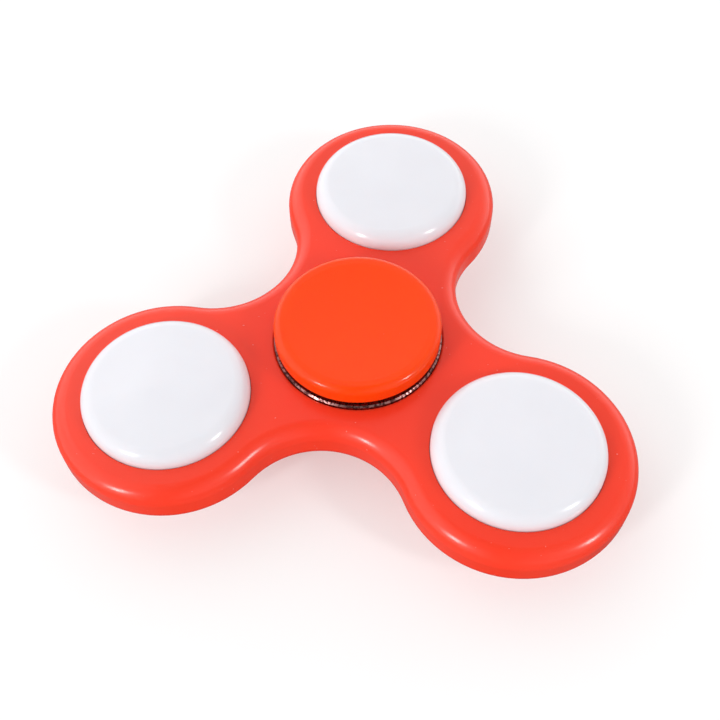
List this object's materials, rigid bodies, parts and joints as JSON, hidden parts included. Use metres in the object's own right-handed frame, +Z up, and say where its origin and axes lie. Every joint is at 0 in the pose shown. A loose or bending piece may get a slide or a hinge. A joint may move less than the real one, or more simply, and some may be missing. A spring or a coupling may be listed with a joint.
{
  "type": "fidget spinner",
  "caption": "Three-armed spinning hand toy with dished finger caps on a central ball bearing and a press-to-light pod with white domed covers in each arm.",
  "frame": {"origin": "centre of the lower finger cap's rim, on the plane that the toy rests on", "axes": "+Z up along the spin axis, +Y along the first arm"},
  "size_m": [0.0746, 0.0686, 0.0138],
  "materials": {
    "body_plastic": "satin moulded ABS, red",
    "cap_plastic": "satin moulded ABS, orange red",
    "light_cover": "milky white, lets light through",
    "race_steel": "ground bearing steel",
    "sheet_steel": "pressed sheet",
    "ball_steel": "polished",
    "board_laminate": "green solder mask",
    "led_resin": "white case with clear window",
    "black_resin": "black moulded",
    "contact_brass": "plain sheet",
    "cell_steel": "bright can"
  },
  "bodies": {
    "hub": {"finger_cap_upper": "cap_plastic", "finger_cap_lower": "cap_plastic", "bearing_inner_race": "race_steel"},
    "rotor": {"body": "body_plastic", "bearing_outer_race": "race_steel", "bearing_shield_upper": "sheet_steel", "bearing_shield_lower": "sheet_steel", "light_base_1": "light_cover", "circuit_board_1": "board_laminate", "leds_1": "led_resin", "control_chip_1": "black_resin", "switch_housing_1": "black_resin", "switch_terminals_1": "contact_brass", "switch_dome_1": "sheet_steel", "switch_cover_1": "sheet_steel", "button_cells_1": "cell_steel", "lower_contacts_1": "contact_brass", "upper_contacts_1": "contact_brass", "light_base_2": "light_cover", "circuit_board_2": "board_laminate", "leds_2": "led_resin", "control_chip_2": "black_resin", "switch_housing_2": "black_resin", "switch_terminals_2": "contact_brass", "switch_dome_2": "sheet_steel", "switch_cover_2": "sheet_steel", "button_cells_2": "cell_steel", "lower_contacts_2": "contact_brass", "upper_contacts_2": "contact_brass", "light_base_3": "light_cover", "circuit_board_3": "board_laminate", "leds_3": "led_resin", "control_chip_3": "black_resin", "switch_housing_3": "black_resin", "switch_terminals_3": "contact_brass", "switch_dome_3": "sheet_steel", "switch_cover_3": "sheet_steel", "button_cells_3": "cell_steel", "lower_contacts_3": "contact_brass", "upper_contacts_3": "contact_brass"},
    "ball_cage": {"bearing_cage_upper": "sheet_steel", "bearing_cage_lower": "sheet_steel", "bearing_cage_rivets": "sheet_steel"},
    "ball_1": {"ball_1": "ball_steel"},
    "ball_2": {"ball_2": "ball_steel"},
    "ball_3": {"ball_3": "ball_steel"},
    "ball_4": {"ball_4": "ball_steel"},
    "ball_5": {"ball_5": "ball_steel"},
    "ball_6": {"ball_6": "ball_steel"},
    "ball_7": {"ball_7": "ball_steel"},
    "light_cap_1": {"light_cap_1": "light_cover"},
    "switch_plunger_1": {"switch_plunger_1": "black_resin"},
    "light_cap_2": {"light_cap_2": "light_cover"},
    "switch_plunger_2": {"switch_plunger_2": "black_resin"},
    "light_cap_3": {"light_cap_3": "light_cover"},
    "switch_plunger_3": {"switch_plunger_3": "black_resin"}
  },
  "joints": [
    {"name": "rotor_spin", "type": "hinge", "parent": "hub", "child": "rotor", "pos_m": [0, 0, 0.0069], "axis": [0, 0, 1], "continuous": true},
    {"name": "cage_orbit", "type": "hinge", "parent": "hub", "child": "ball_cage", "pos_m": [0, 0, 0.0069], "axis": [0, 0, 1], "continuous": true},
    {"name": "ball_1_roll", "type": "hinge", "parent": "ball_cage", "child": "ball_1", "pos_m": [0, 0.0075, 0.0069], "axis": [0, 0, 1], "continuous": true},
    {"name": "ball_2_roll", "type": "hinge", "parent": "ball_cage", "child": "ball_2", "pos_m": [-0.00586, 0.00468, 0.0069], "axis": [0, 0, 1], "continuous": true},
    {"name": "ball_3_roll", "type": "hinge", "parent": "ball_cage", "child": "ball_3", "pos_m": [-0.00731, -0.00167, 0.0069], "axis": [0, 0, 1], "continuous": true},
    {"name": "ball_4_roll", "type": "hinge", "parent": "ball_cage", "child": "ball_4", "pos_m": [-0.00325, -0.00676, 0.0069], "axis": [0, 0, 1], "continuous": true},
    {"name": "ball_5_roll", "type": "hinge", "parent": "ball_cage", "child": "ball_5", "pos_m": [0.00325, -0.00676, 0.0069], "axis": [0, 0, 1], "continuous": true},
    {"name": "ball_6_roll", "type": "hinge", "parent": "ball_cage", "child": "ball_6", "pos_m": [0.00731, -0.00167, 0.0069], "axis": [0, 0, 1], "continuous": true},
    {"name": "ball_7_roll", "type": "hinge", "parent": "ball_cage", "child": "ball_7", "pos_m": [0.00586, 0.00468, 0.0069], "axis": [0, 0, 1], "continuous": true},
    {"name": "light_press_1", "type": "slide", "parent": "rotor", "child": "light_cap_1", "axis": [0, 0, -1], "range_m": [0, 0.0003], "stiffness_N_per_m": 5000},
    {"name": "plunger_press_1", "type": "slide", "parent": "rotor", "child": "switch_plunger_1", "axis": [0, 0, -1], "range_m": [0, 0.0003], "deforming": ["switch_dome_1"]},
    {"name": "light_press_2", "type": "slide", "parent": "rotor", "child": "light_cap_2", "axis": [0, 0, -1], "range_m": [0, 0.0003], "stiffness_N_per_m": 5000},
    {"name": "plunger_press_2", "type": "slide", "parent": "rotor", "child": "switch_plunger_2", "axis": [0, 0, -1], "range_m": [0, 0.0003], "deforming": ["switch_dome_2"]},
    {"name": "light_press_3", "type": "slide", "parent": "rotor", "child": "light_cap_3", "axis": [0, 0, -1], "range_m": [0, 0.0003], "stiffness_N_per_m": 5000},
    {"name": "plunger_press_3", "type": "slide", "parent": "rotor", "child": "switch_plunger_3", "axis": [0, 0, -1], "range_m": [0, 0.0003], "deforming": ["switch_dome_3"]}
  ],
  "couplings": [
    {"joint": "cage_orbit", "follows": "rotor_spin", "ratio": 0.6323},
    {"joint": "ball_1_roll", "follows": "rotor_spin", "ratio": 1.7573},
    {"joint": "ball_2_roll", "follows": "rotor_spin", "ratio": 1.7573},
    {"joint": "ball_3_roll", "follows": "rotor_spin", "ratio": 1.7573},
    {"joint": "ball_4_roll", "follows": "rotor_spin", "ratio": 1.7573},
    {"joint": "ball_5_roll", "follows": "rotor_spin", "ratio": 1.7573},
    {"joint": "ball_6_roll", "follows": "rotor_spin", "ratio": 1.7573},
    {"joint": "ball_7_roll", "follows": "rotor_spin", "ratio": 1.7573},
    {"joint": "plunger_press_1", "follows": "light_press_1", "ratio": 1},
    {"joint": "plunger_press_2", "follows": "light_press_2", "ratio": 1},
    {"joint": "plunger_press_3", "follows": "light_press_3", "ratio": 1}
  ]
}
